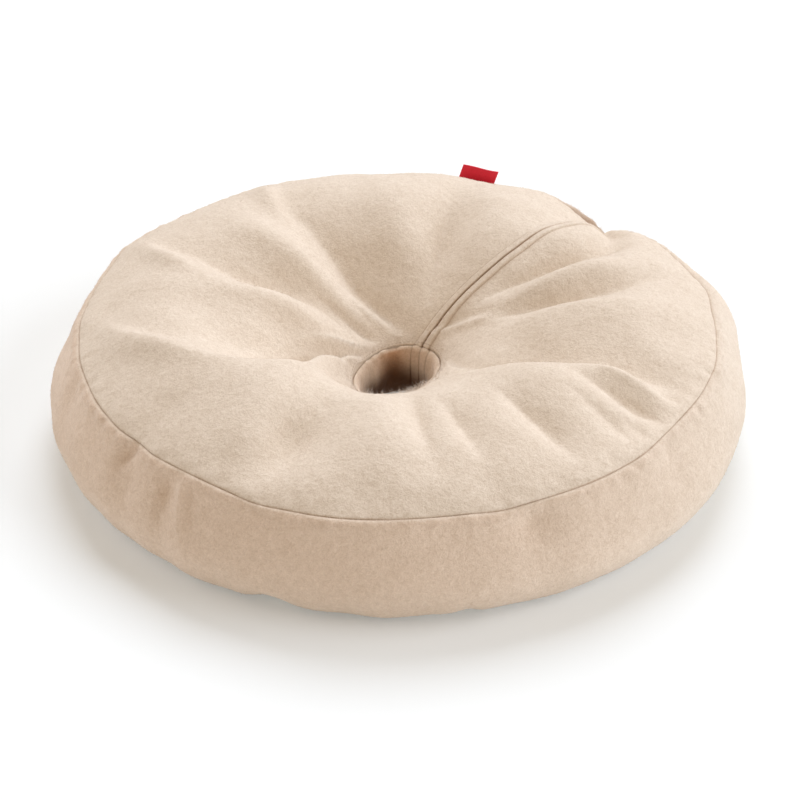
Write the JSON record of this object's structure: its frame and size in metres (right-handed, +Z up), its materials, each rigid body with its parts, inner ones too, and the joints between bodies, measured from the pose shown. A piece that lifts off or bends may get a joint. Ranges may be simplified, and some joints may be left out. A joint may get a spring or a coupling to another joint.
{
  "type": "donut cat bed",
  "caption": "Round stuffed cushion for a cat, with a crowned top drawn down to a sewn hole in the middle, a plump side band and a straight closing.",
  "frame": {"origin": "on the floor, under the middle of the bed's box", "axes": "+Z up, +X to the right and +Y to the back as the picture shows it, with the label tab at the back"},
  "size_m": [0.552, 0.5495, 0.1255],
  "materials": {
    "cover_cloth": "beige napped cloth",
    "tube_cloth": "beige napped cloth",
    "label_ribbon": "red woven ribbon"
  },
  "bodies": {
    "root": {"donut_cushion": "cover_cloth", "centre_tube": "tube_cloth", "label_tab": "label_ribbon"}
  },
  "joints": []
}
